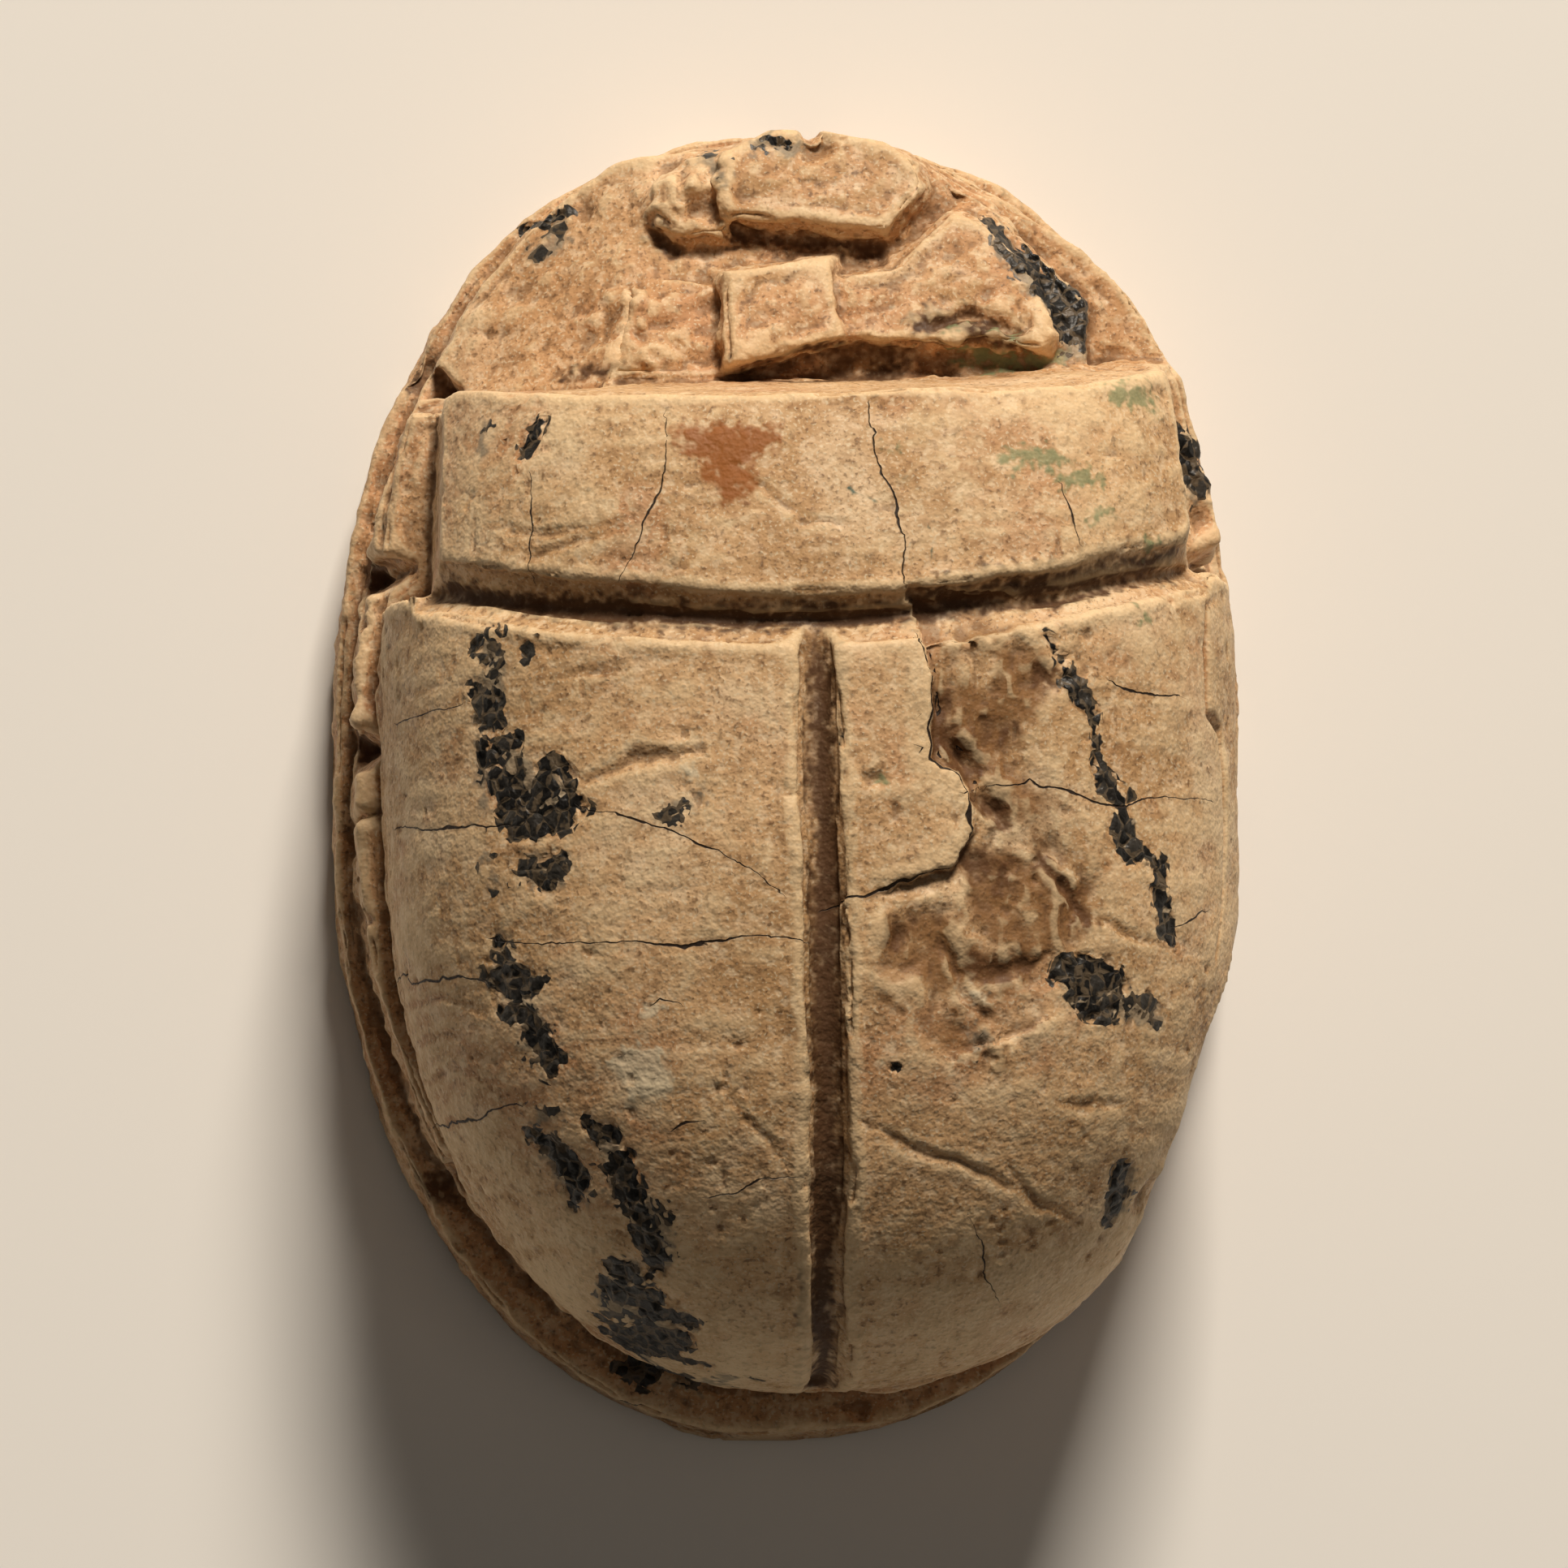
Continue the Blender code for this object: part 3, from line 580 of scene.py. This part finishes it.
# Pits, and the gritty fill of the deep lines
PIT_DEPTH = 0.025
lift -= PIT_DEPTH * ramp(noise(places, 0.14, 71) + 0.4 * noise(places, 0.7, 72), 0.75, 1.0)
deep = ramp(-proud, 0.05, 0.16)
lift += deep * (0.05 * ramp(noise(places, 0.13, 73), -0.1, 0.7) + 0.03 * noise(places, 0.3, 74))

places = places + LINE_WOBBLE * carved * drift * keeps_flat[:, None]
places = places + (lift * keeps_flat)[:, None] * facing
low, high = (np.array(corner) / MM for corner in cad_box)
places = np.clip(places, low, high)
stone.data.vertices.foreach_set("co", places.astype(np.float32).ravel())
stone.data.update()

thinning = stone.modifiers.new("thinning", "DECIMATE")
thinning.ratio = min(1, MOST_TRIANGLES / (2 * len(stone.data.polygons)))
settle(stone)

# What the finish needs to know of each place on the stone
HOLLOW_DEPTH = 0.14
NICK_DEPTH = 0.02
CRACK_FADE = (0.08, 0.14)
THIN_REACH = 0.20
WIDE_REACH = 0.40
pairs, places, facing = look_over(stone.data)
wandered = wander(places)
close = ease(places, pairs, 12)
broad = ease(places, pairs, 70)


def keep(name, values):
    """Stores a value for each point of the stone, under a name that its material reads."""
    attribute = stone.data.attributes.new(name, "FLOAT", "POINT")
    attribute.data.foreach_set("value", np.asarray(values, np.float32))


# Darker brown in the broad hollows, weaker near the underside: partly dirt, partly painted shade. Where
# the surface bulges the field is negative, and there it gives a painted highlight
hollow = np.sum((broad - places) * facing, axis=1) / HOLLOW_DEPTH
keep("hollow", np.clip(hollow * (0.55 + 0.45 * ramp(places[:, 2], 1.0, 2.2)), -1, 1))
# Painted shade in small crevices and a painted highlight on small ridges
keep("nick", np.clip(np.sum((close - places) * facing, axis=1) / NICK_DEPTH, -1, 1))
crack_side, crack_width, _ = beside(wandered, facing, crack_routes, LINE_REACH)
keep("crack_side", crack_side)
keep("crack_width", crack_width * (1 - ramp(np.abs(crack_side), *CRACK_FADE)))
for name, lines, reach in (
    ("vein", vein_routes, LINE_REACH), ("rust", rust_routes, LINE_REACH),
    ("lime", lime_routes, LINE_REACH), ("soil_and_shade", soil_and_shade_routes, LINE_REACH),
    ("brown_shade", brown_shade_routes, LINE_REACH), ("grey", grey_routes, WIDE_REACH),
    ("glaze", glaze_routes, WIDE_REACH), ("teal", teal_routes, THIN_REACH),
    ("seam", seam_routes, THIN_REACH),
):
    keep(name, -beside(wandered, facing, lines, reach)[2])
edge_side, _, _ = beside(wandered, facing, flake_edge, EDGE_REACH)
_, _, flake_gap = beside(wandered, facing, flake_routes, FLAKE_REACH)
worn = (1 - ramp(flake_gap, -0.3, 0.5)) * ramp(edge_side, -0.03, 0.03)
keep("worn", worn * (0.55 + 0.45 * noise(places, 0.45, 87) + 0.3 * noise(places, 0.2, 88)))
in_head, in_ledge = broken_ground(places)
keep("broken", np.maximum(in_head * (1 - ramp(facing[:, 2], 0.93, 0.99)), in_ledge))

keep("mottle", noise(places, 2.0, 81) + 0.5 * noise(places, 0.8, 82))
keep("pale_patch", noise(places, 1.3, 83) + 0.6 * noise(places, 0.45, 84))
keep("pink_patch", noise(places, 1.7, 85) + 0.7 * noise(places, 0.5, 86))

stone.data.transform(Matrix.Scale(MM, 4))
stone.data.polygons.foreach_set("use_smooth", [True] * len(stone.data.polygons))
stone.data.update()

# Fired steatite: a soft talc stone made hard and pale by the kiln. It is dull with a slight wax,
# mottled from cream to pinkish tan, and darker brown in its hollows, partly dirt and partly painted shade,
# with a painted highlight on its bulges and ridges.
steatite = bpy.data.materials.new("fired_steatite")
steatite.use_nodes = True
steatite.node_tree.nodes.clear()


def colour(hex_value):
    """An sRGB hex colour as linear RGBA."""
    parts = [int(hex_value[i : i + 2], 16) / 255 for i in (1, 3, 5)]
    linear = [p / 12.92 if p <= 0.04045 else ((p + 0.055) / 1.055) ** 2.4 for p in parts]
    return (*linear, 1)


def add(kind, inputs, output=0, **settings):
    """Adds a node with its settings, and gives back one of its output sockets if it has any.
    An input is a value, a hex colour or another node's socket."""
    made = steatite.node_tree.nodes.new(kind)
    for name, value in settings.items():
        setattr(made, name, value)
    for name, value in inputs.items():
        if isinstance(value, bpy.types.NodeSocket):
            steatite.node_tree.links.new(value, made.inputs[name])
        else:
            made.inputs[name].default_value = colour(value) if isinstance(value, str) else value
    return made.outputs[output] if made.outputs else None


object_place = add("ShaderNodeTexCoord", {}, "Object")
in_mm = add("ShaderNodeVectorMath", {0: object_place, 3: 1 / MM}, operation="SCALE")

# What the stone's points know of themselves, and noise by the size of its spots in millimetres.
# The stone's real grit is finer than 0.04 mm, and is drawn no finer than this, at which it still
# shows as single grains in the photograph.
know = {}
for name in ("hollow", "nick", "mottle", "pale_patch", "pink_patch", "broken", "worn", "soil_and_shade",
             "brown_shade", "lime", "rust", "glaze", "teal", "grey", "vein", "seam", "crack_side",
             "crack_width"):
    know[name] = add("ShaderNodeAttribute", {}, "Fac", attribute_name=name)
SPOT_SIZES = (("blotch", 0.34, 2), ("spot", 0.15, 1), ("grain", 0.075, 1), ("grit", 0.04, 0))
for name, size, octaves in SPOT_SIZES:
    look = {"Vector": in_mm, "Scale": 1 / size, "Detail": octaves, "Roughness": 0.6}
    know[name] = add("ShaderNodeTexNoise", look)

# Each stain's rim, and the rim of each patch of painted shade, is broken up by the spots of the stone: its
# field is how far inside it a point is
ragged = add("ShaderNodeMath", {0: know["spot"], 1: 0.5}, operation="SUBTRACT")
for name, share in (("soil_and_shade", 0.5), ("hollow", 0.9), ("brown_shade", 0.6), ("lime", 0.45), ("rust", 0.5),
                    ("glaze", 0.6), ("teal", 0.12), ("grey", 0.55), ("seam", 0.05)):
    know[name] = add("ShaderNodeMath", {0: ragged, 1: share, 2: know[name]}, operation="MULTIPLY_ADD")

# The veins break into crumbs: a crumb near a vein's rim is in it or out of it as a whole
VEIN_CRUMB = 0.20
crumb_look = {"Vector": in_mm, "Scale": 1 / VEIN_CRUMB}
crumb_edge = add("ShaderNodeTexVoronoi", crumb_look, feature="DISTANCE_TO_EDGE")
crumb_draw = add("ShaderNodeTexVoronoi", crumb_look, "Color")
chance = add("ShaderNodeSeparateColor", {"Color": crumb_draw})
taken = add("ShaderNodeMath", {0: chance, 1: 0.13, 2: know["vein"]}, operation="MULTIPLY_ADD")
loose = add("ShaderNodeMath", {0: chance, 1: 0.50, 2: know["grey"]}, operation="MULTIPLY_ADD")
loose = add("ShaderNodeMath", {0: loose, 1: 0.37}, operation="SUBTRACT")
vein_field = add("ShaderNodeMath", {0: taken, 1: loose}, operation="MAXIMUM")
vein_field = add("ShaderNodeMath", {0: ragged, 1: 0.12, 2: vein_field}, operation="MULTIPLY_ADD")
vein = add("ShaderNodeMapRange", {"Value": vein_field, "From Min": 0.020, "From Max": 0.036})

# A crack is as wide as its line says, more or less by the blotches it crosses
jitter = add("ShaderNodeMath", {0: ragged, 1: 0.05, 2: know["crack_side"]}, operation="MULTIPLY_ADD")
away = add("ShaderNodeMath", {0: jitter}, operation="ABSOLUTE")
half = add("ShaderNodeMath", {0: know["crack_width"], 1: know["blotch"]}, operation="MULTIPLY")
inside = add("ShaderNodeMath", {0: half, 1: away}, operation="SUBTRACT")
open_crack = add("ShaderNodeMapRange", {"Value": inside, "From Min": -0.004, "From Max": 0.008})
has_crack = add("ShaderNodeMapRange", {"Value": know["crack_width"], "From Min": 0.004, "From Max": 0.012})
crack = add("ShaderNodeMath", {0: open_crack, 1: has_crack}, operation="MULTIPLY")

# The colours from the stone itself to what lies on it, with painted shade and painted highlight among
# them: field, where it starts and is whole, the share it covers, its tone. A low after a high covers where
# the field is small.
LAYERS = [
    (know["mottle"], -0.7, 0.7, 1.0, "#B58E62"), (know["pale_patch"], 0.0, 0.9, 0.60, "#DCC19C"),
    (know["pink_patch"], 0.1, 1.0, 0.55, "#B07A52"), (know["broken"], 0.0, 1.0, 0.45, "#C08D60"),
    (know["blotch"], 0.54, 0.72, 0.50, "#97704A"), (know["blotch"], 0.46, 0.32, 0.35, "#DFC3A0"),
    (know["spot"], 0.57, 0.72, 0.45, "#7F5C3B"), (know["spot"], 0.44, 0.32, 0.40, "#DFC8A8"),
    (know["grit"], 0.62, 0.80, 0.55, "#EBDDBE"),
    # The brown layer below paints dark brown patches of painted shade in the flake's pits and the flank's
    # notches
    (know["worn"], 0.10, 0.80, 0.90, "#80582F"), (know["brown_shade"], -0.18, 0.14, 0.90, "#573517"),
    (know["grain"], 0.60, 0.74, 0.60, "#604327"), (know["grit"], 0.36, 0.20, 0.45, "#65492F"),
    # The hollow layer below paints darker brown in the hollows: partly dirt, partly painted shade
    # The soil layer below paints dark brown along the carved lines: soil in the middle groove, painted
    # shade in the neck groove and under the head's plates
    (know["soil_and_shade"], -0.18, 0.10, 0.94, "#3F240D"), (know["hollow"], 0.45, 1.2, 0.80, "#4A2E16"),
    (know["grit"], 0.66, 0.82, 0.25, "#A0835C"),
    # The nick layers below paint shade in small crevices and a highlight on small ridges
    (know["nick"], 0.25, 1.0, 0.50, "#5C3E24"), (know["nick"], -0.30, -1.0, 0.35, "#E0C9A0"),
    # The hollow layer below paints a highlight where the surface bulges
    (know["hollow"], -0.15, -0.85, 0.40, "#E2C69C"),
    (know["lime"], -0.08, 0.06, 0.65, "#DDD0B2"), (know["rust"], -0.14, 0.10, 0.92, "#8A4C0A"),
    (know["glaze"], -0.05, 0.12, 0.75, "#7C8660"), (know["teal"], -0.02, 0.02, 0.85, "#2B5247"),
    (know["grey"], -0.10, 0.10, 0.75, "#857B69"),
    (vein, 0.0, 1.0, 1.0, "#141210"),
]
tint = "#CCA67A"
for field, start, whole, share, tone in LAYERS:
    look = {"Value": field, "From Min": start, "From Max": whole, "To Max": share}
    cover = add("ShaderNodeMapRange", look, interpolation_type="SMOOTHSTEP")
    tint = add("ShaderNodeMix", {0: cover, 6: tint, 7: tone}, 2, data_type="RGBA")

# Greyer crumbs here and there, tan seams between them, and the cracks over everything
lone = add("ShaderNodeMapRange", {"Value": chance, "From Min": 0.45, "From Max": 1.0, "To Max": 0.5})
greyer = add("ShaderNodeMath", {0: lone, 1: vein}, operation="MULTIPLY")
seam_reach = add("ShaderNodeMath", {0: ragged, 1: 0.7, 2: 0.065}, operation="MULTIPLY_ADD")
seam_field = add("ShaderNodeMath", {0: seam_reach, 1: crumb_edge}, operation="SUBTRACT")
seam = add("ShaderNodeMapRange", {"Value": seam_field, "From Min": -0.03, "From Max": 0.02, "To Max": 0.8})
seam = add("ShaderNodeMath", {0: seam, 1: vein}, operation="MULTIPLY")
pale_seam = add("ShaderNodeMapRange", {"Value": know["seam"], "From Min": -0.012, "From Max": 0.004})
for cover, tone in ((greyer, "#4A453E"), (seam, "#5F513F"), (pale_seam, "#A8957A"), (crack, "#24160B")):
    tint = add("ShaderNodeMix", {0: cover, 6: tint, 7: tone}, 2, data_type="RGBA")

# The surface under the finger, as heights in millimetres: grit, grain, cracks and rounded crumbs
height = add("ShaderNodeMath", {0: know["grit"], 1: 0.004}, operation="MULTIPLY")
for field, start, whole, rise in (
    (know["grain"], 0.25, 0.75, 0.005), (know["spot"], 0.30, 0.70, 0.006),
    (know["blotch"], 0.30, 0.70, 0.008), (crack, 0.0, 1.0, -0.030),
):
    look = {"Value": field, "From Min": start, "From Max": whole, "To Max": rise}
    step = add("ShaderNodeMapRange", look)
    height = add("ShaderNodeMath", {0: height, 1: step})
crumb_top = add("ShaderNodeMapRange", {"Value": crumb_edge, "From Max": 0.30, "To Max": 0.016})
in_vein = add("ShaderNodeMapRange", {"Value": know["vein"], "From Min": -0.06, "From Max": 0.0})
crumb_top = add("ShaderNodeMath", {0: crumb_top, 1: in_vein}, operation="MULTIPLY")
height = add("ShaderNodeMath", {0: height, 1: crumb_top})
bump = add("ShaderNodeBump", {"Height": height, "Distance": MM})

# How rough each is to the light: rubbed stone has a slight wax, dirt has none, and the dark
# mineral shines where it broke
WAXY = 0.56
DULL = 0.74
DIRT = 0.85
MINERAL = 0.46
look = {"Value": know["blotch"], "From Min": 0.3, "From Max": 0.7, "To Min": WAXY, "To Max": DULL}
rubbed = add("ShaderNodeMapRange", look)
dusty = add("ShaderNodeMapRange", {"Value": know["hollow"], "From Min": 0.35, "From Max": 1.1})
gloss = add("ShaderNodeMix", {0: dusty, 2: rubbed, 3: DIRT}, data_type="FLOAT")
gloss = add("ShaderNodeMix", {0: vein, 2: gloss, 3: MINERAL}, data_type="FLOAT")
skin = {"Base Color": tint, "Roughness": gloss, "Normal": bump, "IOR": 1.54, "Specular IOR Level": 0.3}
shader = add("ShaderNodeBsdfPrincipled", skin)
add("ShaderNodeOutputMaterial", {"Surface": shader})

stone.data.materials.append(steatite)
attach(stone, "root")
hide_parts("scarab")

# The floor
# A sheet of matt pale card, far wider than the amulet. It isn't part of the object.
FLOOR_SIDE = 1.6
floor_work = bmesh.new()
bmesh.ops.create_grid(floor_work, x_segments=1, y_segments=1, size=FLOOR_SIDE / 2)
floor_mesh = bpy.data.meshes.new("pale_card")
floor_work.to_mesh(floor_mesh)
floor_work.free()
floor = bpy.data.objects.new("pale_card", floor_mesh)
bpy.context.scene.collection.objects.link(floor)
card = bpy.data.materials.new("matt_card")
card.use_nodes = True
card_shader = card.node_tree.nodes["Principled BSDF"]
card_shader.inputs["Base Color"].default_value = colour("#EDEBE7")
card_shader.inputs["Roughness"].default_value = 0.9
floor.data.materials.append(card)

# The lights
# A soft box beyond the beetle's head rakes over the carving, as in the photograph. A weaker one
# overhead and a dim room keep the tail and the flanks readable.


def soft_box(name, direction, distance, side, watts, tone):
    """A square lamp that faces the amulet from a direction."""
    lamp = bpy.data.lights.new(name, "AREA")
    lamp.shape = "SQUARE"
    lamp.size = side
    lamp.energy = watts
    lamp.color = colour(tone)[:3]
    box = bpy.data.objects.new(name, lamp)
    bpy.context.scene.collection.objects.link(box)
    towards = Vector(direction).normalized()
    box.location = towards * distance
    box.rotation_euler = towards.to_track_quat("Z", "Y").to_euler()


soft_box(
    "main_soft_box", direction=(0.15, 0.85, 0.63), distance=0.35, side=0.09, watts=1.66, tone="#FFF3E3"
)
soft_box(
    "low_soft_box", direction=(0.15, -0.15, 1.0), distance=0.45, side=0.30, watts=0.13, tone="#FFF0DD"
)

ROOM_LIGHT = 0.04
room = bpy.data.worlds.new("dim_room")
room.use_nodes = True
room.node_tree.nodes["Background"].inputs["Color"].default_value = colour("#F0E9E0")
room.node_tree.nodes["Background"].inputs["Strength"].default_value = ROOM_LIGHT
bpy.context.scene.world = room
bpy.context.scene.view_settings.view_transform = "Standard"
